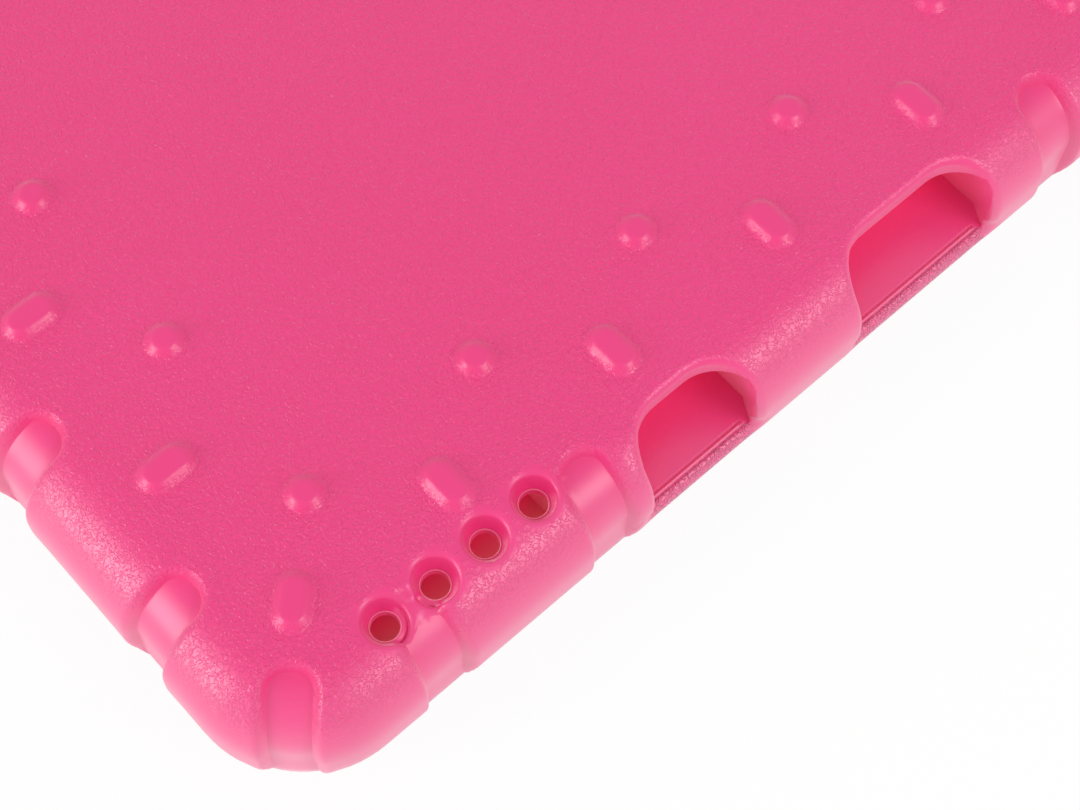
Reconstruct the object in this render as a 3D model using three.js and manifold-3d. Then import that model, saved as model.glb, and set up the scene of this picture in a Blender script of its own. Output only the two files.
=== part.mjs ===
// Kids tablet case, moulded in one piece of soft foam, lying on its screen side with its back up.
// Millimetres. X runs across the case, Y along it, and Z up from the front rim to the back.
import * as THREE from "three";
import { mergeVertices } from "three/addons/utils/BufferGeometryUtils.js";
import Module from "manifold-3d";

const wasm = await Module();
wasm.setup();

// The tablet that the pocket holds
const tabletWidth = 157.4;
const tabletLength = 247.6;
const tabletThickness = 7;
const tabletCornerRadius = 7;
const tabletClearance = 0.3; // on each side
const tabletPlay = 0.2; // over its thickness

// Walls round the pocket
const sideWall = 10.1; // along the two long sides
const endWall = 10.6; // along the two short sides
const backThickness = 3.6;
const lipThickness = 7.2;
const outerCornerRadius = 13;
const backRound = 8; // radius between the back and the outer wall
const frontRound = 8; // radius between the front rim and the outer wall

// Display window in the front, splayed towards the eye
const lipOverlap = 5.5; // how far the lip reaches over the tablet
const windowSplay = 4.5; // how much wider the window is at the front rim, on each side

// Pattern of studs on the back, in two rows that follow the edge
const studsAcross = 7; // round studs along a short side, corners included
const studsAlong = 11; // round studs along a long side, corners included
const sideRowInset = 21.6; // outer wall of a long side to the row of round studs
const endRowInset = 22.2; // outer wall of a short side to the row of round studs
const studHeight = 0.9;
const roundStudDiameter = 4.3;
const ovalStudLength = 7.2;
const ovalStudWidth = 4.4;
const ovalRowStep = 8.55; // from the round row outwards to the oval row
const cornerOvalStep = 8; // the same along X and along Y, at a corner
const studDraft = 0.65; // how much a stud narrows from root to top, on each side

// Grooves that run from the back over the shoulder, one at each round stud and one at each corner
const grooveFloorWidth = 5.5;
const grooveBackDepth = 1.5; // below the back
const grooveSideDepth = 1; // below the outer wall
const grooveWallSlope = 0.45; // widening of the groove for each millimetre of depth, on each side
const grooveInset = 7.9; // outer wall to the inner end of the groove's floor
const grooveCrease = 4.4; // outer wall to the crease where the floor turns down
const grooveClearance = 1; // between a groove and a port

// Ports: notches in the wall that open to the back and to the side
const portInset = 6.1; // outer wall to the port's inner edge on the back
const portCornerRadius = 4;
const portWayInset = 5.2; // outer wall to the way under the back that joins the notch and the pocket
const portWaySpread = 3; // how much wider than its notch the way is, on each side
const portLipRound = 1.9; // on the lip's outer edge, at the foot of a notch
const plugPortOffset = 0.8; // from the middle of the short side
const plugPortWidth = 19.4;
const jackPortOffset = -32.5;
const jackPortWidth = 13.8;
const buttonPortOffset = 78.75; // from the middle of the long side
const buttonPortWidth = 54;

// Speaker holes: cones in the back that open into a channel beside the pocket
const speakerHoles = 4; // in each group, one group at each end of each short side
const speakerPitch = 6.5;
const speakerStart = 2.6; // first hole, outwards of the corner stud
const speakerInset = 7; // outer wall to the row of holes
const speakerMouth = 5.1;
const speakerThroat = 3.5;
const speakerConeDepth = 2.4;
const speakerSkin = 3; // back surface to the channel
const channelHeight = 6;
const channelMargin = 0.6; // channel beyond the throats of the holes

// Camera hole through the back, near one corner of the tablet
const cameraFromEdge = 13; // tablet's edge to the lens, across and along
const cameraDiameter = 13;
const cameraBevel = 1.2;
const studClearance = 1; // between a stud and a hole

// Fineness of curves
const cornerSteps = 7;
const roundSteps = 7;
const grooveEndSteps = 4;
const grooveShoulderSteps = 5;
const lipRoundSteps = 3;
const studSides = 12;
const holeSides = 14;
const overrun = 1; // how far a cutter runs past the surface that it opens
const finest = 0.01; // edges shorter than this are merged

const pocketWidth = tabletWidth + 2 * tabletClearance;
const pocketLength = tabletLength + 2 * tabletClearance;
const pocketRadius = tabletCornerRadius + tabletClearance;
const pocketTop = lipThickness + tabletThickness + tabletPlay;
const caseWidth = pocketWidth + 2 * sideWall;
const caseLength = pocketLength + 2 * endWall;
const caseThickness = pocketTop + backThickness;
const pitchAcross = (caseWidth - 2 * sideRowInset) / (studsAcross - 1);
const pitchAlong = (caseLength - 2 * endRowInset) / (studsAlong - 1);

// Joins rings of points, one above the other and each with as many points, into one closed skin.
// Seen from the last ring, each ring runs counter-clockwise. A ring may shrink to a line or a point.
function skin(rings) {
  const count = rings[0].length;
  const positions = rings.flat().flatMap((p) => [p.x, p.y, p.z]);
  const faces = [];
  for (let r = 0; r < rings.length - 1; r++) {
    for (let i = 0; i < count; i++) {
      const a = r * count + i;
      const b = r * count + ((i + 1) % count);
      faces.push([a, b, b + count], [a, b + count, a + count]);
    }
  }
  const last = (rings.length - 1) * count;
  for (let i = 1; i < count - 1; i++) {
    faces.push([0, i + 1, i], [last, last + i, last + i + 1]);
  }
  const geometry = new THREE.BufferGeometry();
  geometry.setAttribute("position", new THREE.Float32BufferAttribute(positions, 3));
  geometry.setIndex(faces.flat());
  return geometry;
}

// A closed geometry as a solid that can be joined and cut.
function solidFrom(geometry) {
  const bare = geometry.clone();
  bare.deleteAttribute("normal");
  bare.deleteAttribute("uv");
  const merged = mergeVertices(bare, 1e-4);
  const index = merged.index.array;
  const kept = [];
  for (let i = 0; i < index.length; i += 3) {
    const [a, b, c] = [index[i], index[i + 1], index[i + 2]];
    if (a !== b && b !== c && c !== a) kept.push(a, b, c);
  }
  return new wasm.Manifold(
    new wasm.Mesh({
      numProp: 3,
      vertProperties: merged.attributes.position.array,
      triVerts: new Uint32Array(kept),
    }),
  );
}

// The surface of a solid as a geometry to show.
function geometryFrom(solid) {
  const mesh = solid.getMesh();
  const geometry = new THREE.BufferGeometry();
  geometry.setAttribute("position", new THREE.BufferAttribute(mesh.vertProperties, 3));
  geometry.setIndex(new THREE.BufferAttribute(mesh.triVerts, 1));
  const faceted = geometry.toNonIndexed();
  faceted.computeVertexNormals();
  return faceted;
}

// A section drawn in X and Y is stood up in Y and Z with these, and its length runs along X.
const across = new THREE.Vector3(1, 0, 0);
const forward = new THREE.Vector3(0, 1, 0);
const upward = new THREE.Vector3(0, 0, 1);

function unionOf(solids) {
  return solids.reduce((sum, solid) => sum.add(solid));
}

// A rounded rectangle at one height, counter-clockwise from above.
function rectangleRing(width, length, radius, z) {
  const ring = [];
  const corners = [
    [1, 1],
    [-1, 1],
    [-1, -1],
    [1, -1],
  ];
  corners.forEach(([sx, sy], quarter) => {
    for (let step = 0; step <= cornerSteps; step++) {
      const angle = ((quarter + step / cornerSteps) * Math.PI) / 2;
      const x = sx * (width / 2 - radius) + radius * Math.cos(angle);
      const y = sy * (length / 2 - radius) + radius * Math.sin(angle);
      ring.push(new THREE.Vector3(x, y, z));
    }
  });
  return ring;
}

function caseRing(inset, z) {
  const radius = Math.max(outerCornerRadius - inset, 0.5);
  return rectangleRing(caseWidth - 2 * inset, caseLength - 2 * inset, radius, z);
}

// The bumper: a rounded slab whose edge turns in at the front and at the back.
function bumper() {
  const rings = [];
  for (let step = 0; step <= roundSteps; step++) {
    const angle = (step / roundSteps) * (Math.PI / 2);
    rings.push(caseRing(frontRound * (1 - Math.sin(angle)), frontRound * (1 - Math.cos(angle))));
  }
  for (let step = 0; step <= roundSteps; step++) {
    const angle = (step / roundSteps) * (Math.PI / 2);
    const drop = backRound * (1 - Math.sin(angle));
    rings.push(caseRing(backRound * (1 - Math.cos(angle)), caseThickness - drop));
  }
  return solidFrom(skin(rings));
}

function pocket() {
  return solidFrom(
    skin([
      rectangleRing(pocketWidth, pocketLength, pocketRadius, lipThickness),
      rectangleRing(pocketWidth, pocketLength, pocketRadius, pocketTop),
    ]),
  );
}

function displayWindow() {
  const ringAt = (z) => {
    const reach = lipOverlap - windowSplay * (1 - z / lipThickness);
    const radius = Math.max(pocketRadius - reach, 0.5) + lipOverlap / 2;
    return rectangleRing(pocketWidth - 2 * reach, pocketLength - 2 * reach, radius, z);
  };
  return solidFrom(skin([ringAt(-overrun), ringAt(lipThickness + overrun)]));
}

// Cutter for one groove. The outer wall stands at y = 0 with the outside towards +Y.
// Its floor is level on the back, turns down at a crease, rounds the shoulder on one arc
// and then drops straight, so that it runs out where the front rim turns in.
function groove() {
  const halfFloor = grooveFloorWidth / 2;
  const floorZ = caseThickness - grooveBackDepth;
  const endCentre = -grooveInset + halfFloor;
  const shoulderZ = caseThickness - backRound;
  const rise = floorZ - shoulderZ;
  const arcInset =
    (grooveCrease ** 2 + rise ** 2 - grooveSideDepth ** 2) / (2 * (grooveCrease - grooveSideDepth));
  const arcRadius = arcInset - grooveSideDepth;
  const creaseAngle = Math.atan2(rise, arcInset - grooveCrease);
  const height = grooveBackDepth + overrun;
  const widening = height * grooveWallSlope;

  // One cross-section: floor right and left, then the open side left and right.
  const section = (y, z, up, endAngle = Math.PI / 2) => {
    const floor = halfFloor * Math.sin(endAngle);
    const open = (halfFloor + widening) * Math.sin(endAngle);
    const back = widening * Math.cos(endAngle);
    const [ny, nz] = [Math.cos(up), Math.sin(up)];
    return [
      new THREE.Vector3(floor, y, z),
      new THREE.Vector3(-floor, y, z),
      new THREE.Vector3(-open, y + height * ny - back, z + height * nz),
      new THREE.Vector3(open, y + height * ny - back, z + height * nz),
    ];
  };
  const rings = [];
  for (let step = 0; step <= grooveEndSteps; step++) {
    const angle = (step / grooveEndSteps) * (Math.PI / 2);
    rings.push(section(endCentre - halfFloor * Math.cos(angle), floorZ, Math.PI / 2, angle));
  }
  for (let step = 0; step <= grooveShoulderSteps; step++) {
    const angle = creaseAngle * (1 - step / grooveShoulderSteps);
    const y = -arcInset + arcRadius * Math.cos(angle);
    const up = step === 0 ? (angle + Math.PI / 2) / 2 : angle;
    rings.push(section(y, shoulderZ + arcRadius * Math.sin(angle), up));
  }
  rings.push(section(-grooveSideDepth, -overrun, 0));
  return skin(rings);
}

// Port cutter: a notch from above that also rounds the lip's edge at its foot, and a way through
// under the back to the pocket.
function port(width, wall) {
  const half = width / 2;
  const r = portCornerRadius;
  const outline = new THREE.Shape();
  outline.moveTo(half, overrun);
  outline.lineTo(-half, overrun);
  outline.absarc(-half + r, -portInset + r, r, Math.PI, 1.5 * Math.PI, false);
  outline.absarc(half - r, -portInset + r, r, 1.5 * Math.PI, 2 * Math.PI, false);
  const notch = new THREE.ExtrudeGeometry(outline, {
    depth: caseThickness + overrun - lipThickness,
    bevelEnabled: false,
    curveSegments: 6,
  });
  notch.translate(0, 0, lipThickness);
  const reach = wall + overrun - portWayInset;
  const wayWidth = width + 2 * portWaySpread;
  const way = new THREE.BoxGeometry(wayWidth, reach, pocketTop - lipThickness);
  way.translate(0, -portWayInset - reach / 2, (pocketTop + lipThickness) / 2);
  const section = new THREE.Shape();
  section.moveTo(overrun, lipThickness + overrun);
  section.lineTo(-portLipRound, lipThickness + overrun);
  section.absarc(-portLipRound, lipThickness - portLipRound, portLipRound, Math.PI / 2, 0, true);
  section.lineTo(overrun, lipThickness - portLipRound);
  const edge = new THREE.ExtrudeGeometry(section, {
    depth: width,
    bevelEnabled: false,
    curveSegments: lipRoundSteps,
  });
  edge.applyMatrix4(new THREE.Matrix4().makeBasis(forward, upward, across));
  edge.translate(-half, 0, 0);
  return unionOf([solidFrom(notch), solidFrom(way), solidFrom(edge)]);
}

// Group of speaker holes, the first at x = 0 and the rest towards +X, with the channel under them.
function speaker() {
  const throat = speakerThroat / 2;
  const flare = (speakerMouth / 2 - throat) / speakerConeDepth;
  const profile = [
    new THREE.Vector2(0, caseThickness - speakerSkin - overrun),
    new THREE.Vector2(throat, caseThickness - speakerSkin - overrun),
    new THREE.Vector2(throat, caseThickness - speakerConeDepth),
    new THREE.Vector2(throat + flare * (speakerConeDepth + overrun), caseThickness + overrun),
    new THREE.Vector2(0, caseThickness + overrun),
  ];
  const cutters = [];
  for (let hole = 0; hole < speakerHoles; hole++) {
    const cone = new THREE.LatheGeometry(profile, holeSides);
    cone.rotateX(Math.PI / 2);
    cone.translate(hole * speakerPitch, -speakerInset, 0);
    cutters.push(solidFrom(cone));
  }
  const span = (speakerHoles - 1) * speakerPitch;
  const outer = speakerInset - throat - channelMargin;
  const depth = endWall + overrun - outer;
  const channel = new THREE.BoxGeometry(span + 2 * (throat + channelMargin), depth, channelHeight);
  channel.translate(span / 2, -outer - depth / 2, caseThickness - speakerSkin - channelHeight / 2);
  cutters.push(solidFrom(channel));
  return unionOf(cutters);
}

function cameraHole() {
  const radius = cameraDiameter / 2;
  const profile = [
    new THREE.Vector2(0, pocketTop - overrun),
    new THREE.Vector2(radius, pocketTop - overrun),
    new THREE.Vector2(radius, caseThickness - cameraBevel),
    new THREE.Vector2(radius + cameraBevel + overrun, caseThickness + overrun),
    new THREE.Vector2(0, caseThickness + overrun),
  ];
  const hole = new THREE.LatheGeometry(profile, 2 * holeSides);
  hole.rotateX(Math.PI / 2);
  return hole;
}

// Stud: a low rise with drafted sides, round or drawn out along Y, with its root in the back.
function stud(width, length) {
  const ringAt = (shrink, z) => {
    const radius = width / 2 - shrink;
    const stretch = (length - width) / 2;
    const ring = [];
    for (let side = 0; side < studSides; side++) {
      const angle = ((side + 0.5) / studSides) * 2 * Math.PI;
      const y = radius * Math.sin(angle) + stretch * Math.sign(Math.sin(angle));
      ring.push(new THREE.Vector3(radius * Math.cos(angle), y, z));
    }
    return ring;
  };
  return skin([
    ringAt(0, caseThickness - backThickness / 4),
    ringAt(0, caseThickness),
    ringAt(studDraft, caseThickness + studHeight),
  ]);
}

const halfWidth = caseWidth / 2;
const halfLength = caseLength / 2;

// The four sides as places on the outer wall: middle of the side, and the turn that faces +Y outwards.
const ends = [
  { turn: 0, reach: halfLength },
  { turn: Math.PI, reach: halfLength },
];
const sides = [
  { turn: Math.PI / 2, reach: halfWidth },
  { turn: -Math.PI / 2, reach: halfWidth },
];

// Matrix that carries a local shape to a side, `along` from its middle.
function onSide(side, along) {
  const place = new THREE.Matrix4().makeRotationZ(side.turn);
  return place.multiply(new THREE.Matrix4().makeTranslation(along, side.reach, 0));
}

// The visible short side faces -Y, so its local X points towards -X.
const plugEnd = ends[1];
const buttonSide = sides[1];
const ports = [
  { side: plugEnd, along: -plugPortOffset, width: plugPortWidth, wall: endWall },
  { side: plugEnd, along: -jackPortOffset, width: jackPortWidth, wall: endWall },
  { side: buttonSide, along: -buttonPortOffset, width: buttonPortWidth, wall: sideWall },
];

// A groove is left out where it would cut into a port.
function clearOfPorts(side, along) {
  const grooveHalf = grooveFloorWidth / 2 + grooveBackDepth * grooveWallSlope;
  return ports.every(
    (p) => p.side !== side || Math.abs(p.along - along) > p.width / 2 + grooveHalf + grooveClearance,
  );
}

const camera = new THREE.Vector2(
  tabletWidth / 2 - cameraFromEdge,
  tabletLength / 2 - cameraFromEdge,
);
function clearOfCamera(x, y) {
  const reach = cameraDiameter / 2 + cameraBevel + roundStudDiameter / 2 + studClearance;
  return camera.distanceTo(new THREE.Vector2(x, y)) > reach;
}

function place(geometry, matrix) {
  return solidFrom(geometry.clone().applyMatrix4(matrix));
}

const cutters = [pocket(), displayWindow()];
const raised = [];
const grooveShape = groove();
const roundStud = stud(roundStudDiameter, roundStudDiameter);
const ovalStud = stud(ovalStudWidth, ovalStudLength);

// Grooves, round studs and oval studs along the four sides
const rows = [
  { list: ends, count: studsAcross, pitch: pitchAcross, inset: endRowInset },
  { list: sides, count: studsAlong, pitch: pitchAlong, inset: sideRowInset },
];
for (const row of rows) {
  for (const side of row.list) {
    for (let k = 0; k < row.count; k++) {
      const along = (k - (row.count - 1) / 2) * row.pitch;
      if (clearOfPorts(side, along)) cutters.push(place(grooveShape, onSide(side, along)));
      if (k === 0) continue;
      const onRow = onSide(side, along).multiply(
        new THREE.Matrix4().makeTranslation(0, -row.inset, 0),
      );
      const spot = new THREE.Vector3().setFromMatrixPosition(onRow);
      if (clearOfCamera(spot.x, spot.y)) raised.push(place(roundStud, onRow));
      const between = onSide(side, along - row.pitch / 2).multiply(
        new THREE.Matrix4().makeTranslation(0, ovalRowStep - row.inset, 0),
      );
      raised.push(place(ovalStud, between));
    }
  }
}

// A groove and an oval stud on each corner's diagonal
for (const [sx, sy] of [
  [1, 1],
  [-1, 1],
  [-1, -1],
  [1, -1],
]) {
  const turn = Math.atan2(sy, sx) - Math.PI / 2;
  const centreX = sx * (halfWidth - outerCornerRadius);
  const centreY = sy * (halfLength - outerCornerRadius);
  const corner = new THREE.Matrix4().makeTranslation(centreX, centreY, 0);
  corner.multiply(new THREE.Matrix4().makeRotationZ(turn));
  corner.multiply(new THREE.Matrix4().makeTranslation(0, outerCornerRadius, 0));
  cutters.push(place(grooveShape, corner));
  const studX = sx * (halfWidth - sideRowInset + cornerOvalStep);
  const studY = sy * (halfLength - endRowInset + cornerOvalStep);
  const onCorner = new THREE.Matrix4().makeTranslation(studX, studY, 0);
  raised.push(place(ovalStud, onCorner.multiply(new THREE.Matrix4().makeRotationZ(turn))));
}

for (const p of ports) {
  cutters.push(port(p.width, p.wall).transform(onSide(p.side, p.along).toArray()));
}

// A group of speaker holes at both ends of both short sides
const speakerGroup = speaker();
const firstHole = halfWidth - sideRowInset + speakerStart;
for (const end of ends) {
  const right = onSide(end, -firstHole);
  cutters.push(speakerGroup.transform(right.toArray()));
  const span = (speakerHoles - 1) * speakerPitch;
  cutters.push(speakerGroup.transform(onSide(end, firstHole - span).toArray()));
}

cutters.push(place(cameraHole(), new THREE.Matrix4().makeTranslation(camera.x, camera.y, 0)));

const shell = bumper().add(unionOf(raised)).subtract(unionOf(cutters)).simplify(finest);

const foam = new THREE.MeshStandardMaterial({ color: 0xe84e87, roughness: 0.62, metalness: 0 });
const caseShell = new THREE.Mesh(geometryFrom(shell), foam);
caseShell.name = "case_shell";

const tabletCase = new THREE.Group();
tabletCase.add(caseShell);

export default tabletCase;
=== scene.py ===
import math

import bmesh
import bpy
import numpy as np
from mathutils import Matrix, Vector
from mathutils.geometry import delaunay_2d_cdt
from mathutils.kdtree import KDTree


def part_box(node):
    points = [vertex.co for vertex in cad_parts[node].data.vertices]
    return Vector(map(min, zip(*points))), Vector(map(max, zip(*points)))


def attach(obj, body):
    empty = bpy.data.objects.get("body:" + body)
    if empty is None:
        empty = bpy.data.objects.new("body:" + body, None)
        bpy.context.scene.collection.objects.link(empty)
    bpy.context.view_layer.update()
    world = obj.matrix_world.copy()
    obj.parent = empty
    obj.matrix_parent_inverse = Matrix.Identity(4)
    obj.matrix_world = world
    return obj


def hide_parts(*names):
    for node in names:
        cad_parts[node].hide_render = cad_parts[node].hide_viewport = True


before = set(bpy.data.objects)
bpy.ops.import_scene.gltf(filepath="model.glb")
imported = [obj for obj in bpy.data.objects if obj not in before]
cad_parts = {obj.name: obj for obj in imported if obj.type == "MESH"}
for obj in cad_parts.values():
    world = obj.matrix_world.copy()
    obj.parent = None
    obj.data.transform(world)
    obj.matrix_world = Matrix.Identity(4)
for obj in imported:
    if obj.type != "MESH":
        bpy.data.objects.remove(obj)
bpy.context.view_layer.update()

mm = 0.001
shellLow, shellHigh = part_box("case_shell")

# The skin of the whole case outside. Its mesh points are laid out on the skin rolled flat, which is called the chart
# below, and are then pressed into form. Every length here is in mm until a mesh is made.
skinForm = {
    "width": (shellHigh.x - shellLow.x) / mm,
    "length": (shellHigh.y - shellLow.y) / mm,
    "thickness": 18.0,  # without the studs
    "cornerRadius": 13.0,
    "round": 8.0,  # the same at the back and at the front
    "roundRows": 13,  # mesh rows over the back round
    "frontRows": 9,
    "alongStep": 1.6,  # mesh columns along the edge
    # mesh rings on the flat back, each with its own step, and the plain grid inside them
    "backRings": ((-1.3, 1.8), (-3, 2.2), (-5, 2.6), (-7.5, 3), (-10.5, 3.6), (-14, 4), (-18, 5), (-23, 6)),
    "gridInset": 30,
    "gridStep": 7.0,
    "sharpCorner": 0.4,  # a ring's corner of a smaller radius is one point
}
half = np.array([skinForm["width"], skinForm["length"]]) / 2
roundRadius = skinForm["round"]
backZ = skinForm["thickness"]
flatCorner = skinForm["cornerRadius"] - roundRadius  # corner of the flat part of the back
core = half - skinForm["cornerRadius"]
quarterArc = roundRadius * math.pi / 2
wallHeight = backZ - 2 * roundRadius
skinEnd = 2 * quarterArc + wallHeight
topEnd = quarterArc - 0.01  # up to here the skin faces up


# Nearest point on the outline of the flat back, the way out from there, and how far out.
def fromFlat(points):
    sign = np.where(points < 0, -1.0, 1.0)
    beyond = np.abs(points) - core
    atCorner = (beyond > 0).all(axis=1)
    length = np.maximum(np.hypot(beyond[:, 0], beyond[:, 1]), 1e-9)
    alongX = beyond[:, 0] > beyond[:, 1]
    straight = np.stack([alongX, ~alongX], axis=1).astype(float)
    out = np.where(atCorner[:, None], beyond / length[:, None], straight) * sign
    distance = np.where(atCorner, length, beyond.max(axis=1)) - flatCorner
    return points - out * distance[:, None], out, distance


# Reach and height of the bumper's section, and its normal, at a distance over the skin.
def skinSection(distance):
    a = np.clip(distance, 0, quarterArc) / roundRadius
    b = np.clip(distance - quarterArc - wallHeight, 0, quarterArc) / roundRadius
    wall = np.clip(distance - quarterArc, 0, wallHeight)
    onFront = b > 0
    reach = np.where(onFront, roundRadius * np.cos(b), roundRadius * np.sin(a))
    reach = np.where(distance < 0, distance, reach)
    height = backZ - roundRadius * (1 - np.cos(a)) - wall - roundRadius * np.sin(b)
    normalOut = np.where(onFront, np.cos(b), np.sin(a))
    normalUp = np.where(onFront, -np.sin(b), np.cos(a))
    return reach, height, normalOut, normalUp


# Where a point of the chart is seen from above.
def toPlan(chart):
    base, out, distance = fromFlat(chart)
    return base + out * skinSection(distance)[0][:, None]


# The other way round, inside the silhouette.
def toChart(plan):
    base, out, distance = fromFlat(plan)
    rolled = roundRadius * np.arcsin(np.clip(distance / roundRadius, 0, 1))
    return base + out * np.where(distance > 0, rolled, distance)[:, None]


# What lies along the four sides. An inset is measured inwards from the outline.
patternForm = {
    "studsAcross": 7,  # round ones in a row
    "studsAlong": 11,
    "sideRowInset": 21.6,
    "endRowInset": 22.2,
    "ovalRowStep": 8.55,  # the ovals stand this much nearer to the edge, half a pitch along
    "cornerOvalStep": 8.0,
    "plugNotch": {"along": -1.3, "width": 20.6},
    "jackNotch": {"along": 32.0, "width": 14.9},
    "buttonNotch": {"along": -78.75, "width": 54.0},
    "notchClearance": 4.2,  # no groove comes nearer to a notch
    "camera": np.array([65.7, 110.8]),  # middle of the camera hole
    "cameraClearance": 10.85,  # no round stud comes nearer to the camera hole
}


# The outermost point of a side or corner, the way along the edge there and the way out.
def edgeFrame(turn, reach, centre=(0.0, 0.0)):
    out = np.array([-math.sin(turn), math.cos(turn)])
    along = np.array([math.cos(turn), math.sin(turn)])
    return {"origin": np.array(centre) + out * reach, "along": along, "out": out}


ends = [edgeFrame(0, half[1]), edgeFrame(math.pi, half[1])]
flanks = [edgeFrame(math.pi / 2, half[0]), edgeFrame(-math.pi / 2, half[0])]
notches = [{"edge": ends[1], **patternForm["plugNotch"]},
           {"edge": ends[1], **patternForm["jackNotch"]},
           {"edge": flanks[1], **patternForm["buttonNotch"]}]


def onEdge(edge, along, inset):
    return edge["origin"] + edge["along"] * along - edge["out"] * inset


def clearOfNotches(edge, along):
    margin = patternForm["notchClearance"]
    return all(n["edge"] is not edge or abs(n["along"] - along) > n["width"] / 2 + margin for n in notches)


rowCorner = half - np.array([patternForm["sideRowInset"], patternForm["endRowInset"]])  # where two rows meet
grooves, roundStuds, ovalStuds = [], [], []
for edges, count, inset, span in ((ends, patternForm["studsAcross"], patternForm["endRowInset"], rowCorner[0]),
                                  (flanks, patternForm["studsAlong"], patternForm["sideRowInset"], rowCorner[1])):
    pitch = 2 * span / (count - 1)
    for edge in edges:
        for k in range(count):
            along = k * pitch - span
            if clearOfNotches(edge, along):
                grooves.append({**edge, "origin": edge["origin"] + edge["along"] * along})
            if k == 0:
                continue
            spot = onEdge(edge, along, inset)
            if np.hypot(*(spot - patternForm["camera"])) > patternForm["cameraClearance"]:
                roundStuds.append((spot, edge["out"]))
            ovalStuds.append((onEdge(edge, along - pitch / 2, inset - patternForm["ovalRowStep"]), edge["out"]))
for signX in (-1, 1):
    for signY in (-1, 1):
        turn = math.atan2(signY, signX) - math.pi / 2
        sign = np.array([signX, signY])
        corner = edgeFrame(turn, skinForm["cornerRadius"], sign * core)
        grooves.append(corner)
        ovalStuds.append((sign * (rowCorner + patternForm["cornerOvalStep"]), corner["out"]))


# grooves that wrap over the shoulder
grooveForm = {
    "floorWidth": 4.8,
    "backDepth": 1.1,
    "sideDepth": 1.3,
    "depthSoftness": 0.12,  # how gently the one depth turns into the other
    "wallSlope": 0.48,
    "inset": 7.6,
    "rimSoftness": 1.0,
    "floorSoftness": 0.15,
    # mesh lines each side of the middle, and the same as rings round the end
    "gauge": (0, 0.9, 1.7, 2.2, 2.38, 2.48, 2.6, 2.72, 2.84, 2.96, 3.08, 3.2, 3.4, 3.8),
    "endSteps": 12,
    "rowStep": 0.85,
    "reach": 19.0,  # end of its dense mesh, over the skin
    "noDepth": 1e-4,  # a shallower groove counts as none
}
grooveEnd = -grooveForm["inset"] + grooveForm["floorWidth"] / 2


def softMin(a, b, k):
    return np.minimum(a, b) - np.maximum(k - np.abs(a - b), 0) ** 2 / (4 * k)


def softMax(a, b, k):
    return -softMin(-a, -b, k)


# Depth of the floor: level over the back, even down the side, and running out under the front round.
def grooveDepth(distance):
    a = np.clip(distance, 0, 0.9 * quarterArc) / roundRadius
    level = roundRadius - (roundRadius - grooveForm["backDepth"]) / np.cos(a)
    b = np.clip(distance - quarterArc - wallHeight, 0, quarterArc) / roundRadius
    runOut = roundRadius * (1 - np.cos(b))
    return np.clip(softMax(level, grooveForm["sideDepth"], grooveForm["depthSoftness"]) - runOut, 0, None)


# How far a point seen from above lies from the groove's middle line.
def grooveGauge(groove, plan):
    away = plan - groove["origin"]
    u, v = away @ groove["along"], away @ groove["out"]
    return np.where(v > grooveEnd, np.abs(u), np.hypot(u, v - grooveEnd))


# How far the skin is pressed in there.
def grooveCut(gauge, depth):
    safe = np.maximum(depth, grooveForm["noDepth"])
    rising = (gauge - grooveForm["floorWidth"] / 2) / grooveForm["wallSlope"]
    rising = softMax(rising, 0 * rising, np.minimum(grooveForm["floorSoftness"], 0.8 * safe))
    left = softMin(rising, safe, np.minimum(grooveForm["rimSoftness"], 1.2 * safe))
    return np.where(depth > grooveForm["noDepth"], depth - left, 0)


def groovePoints(groove):
    gauges = sorted({s * g for g in grooveForm["gauge"] for s in (-1, 1)})
    plan = [groove["origin"] + groove["out"] * grooveEnd]
    for g in grooveForm["gauge"][1:]:
        for step in range(1, grooveForm["endSteps"]):
            angle = math.pi * step / grooveForm["endSteps"]
            beside = groove["origin"] + groove["along"] * g * math.cos(angle)
            plan.append(beside + groove["out"] * (grooveEnd - g * math.sin(angle)))
    points = [toChart(np.array(plan))]
    start = roundRadius * math.asin(1 + grooveEnd / roundRadius)
    atCorner = abs(groove["out"][0] * groove["out"][1]) > 0.1
    for distance in np.arange(start, grooveForm["reach"], grooveForm["rowStep"]):
        reach = float(skinSection(np.array([distance]))[0][0])
        row = np.array(gauges)
        if atCorner:
            # the corner's skin fans out when it is rolled flat
            angle = np.arcsin(np.clip(row / (flatCorner + reach), -0.9, 0.9))
            across = (flatCorner + distance) * np.sin(angle)
            outwards = (flatCorner + distance) * np.cos(angle) - flatCorner
        else:
            across, outwards = row, np.full(row.shape, distance)
        base = groove["origin"] - groove["out"] * roundRadius
        points.append(base + across[:, None] * groove["along"] + outwards[:, None] * groove["out"])
    return np.concatenate(points)


# round and oval studs
studForm = {
    "height": 0.9,
    "roundDiameter": 3.9,
    "ovalLength": 6.2,
    "ovalWidth": 3.8,
    "rootSoftness": 0.45,
    "topSoftness": 0.9,
    "offsets": (0.95, 0.48, 0.32, 0.17, 0.03, -0.11, -0.25, -0.39, -0.53, -0.67, -0.85, -1.2),  # mesh rings
    "sides": 26,
}


# Radius of a stud, and how far the middles of its two ends lie from its own.
def studSize(isOval):
    if isOval:
        return studForm["ovalWidth"] / 2, (studForm["ovalLength"] - studForm["ovalWidth"]) / 2
    return studForm["roundDiameter"] / 2, 0


# How far a point seen from above lies outside the stud's outline.
def studReach(stud, isOval, plan):
    centre, axis = stud
    away = plan - centre
    radius, stretch = studSize(isOval)
    slid = away - np.clip(away @ axis, -stretch, stretch)[:, None] * axis
    return np.hypot(slid[:, 0], slid[:, 1]) - radius


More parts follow.
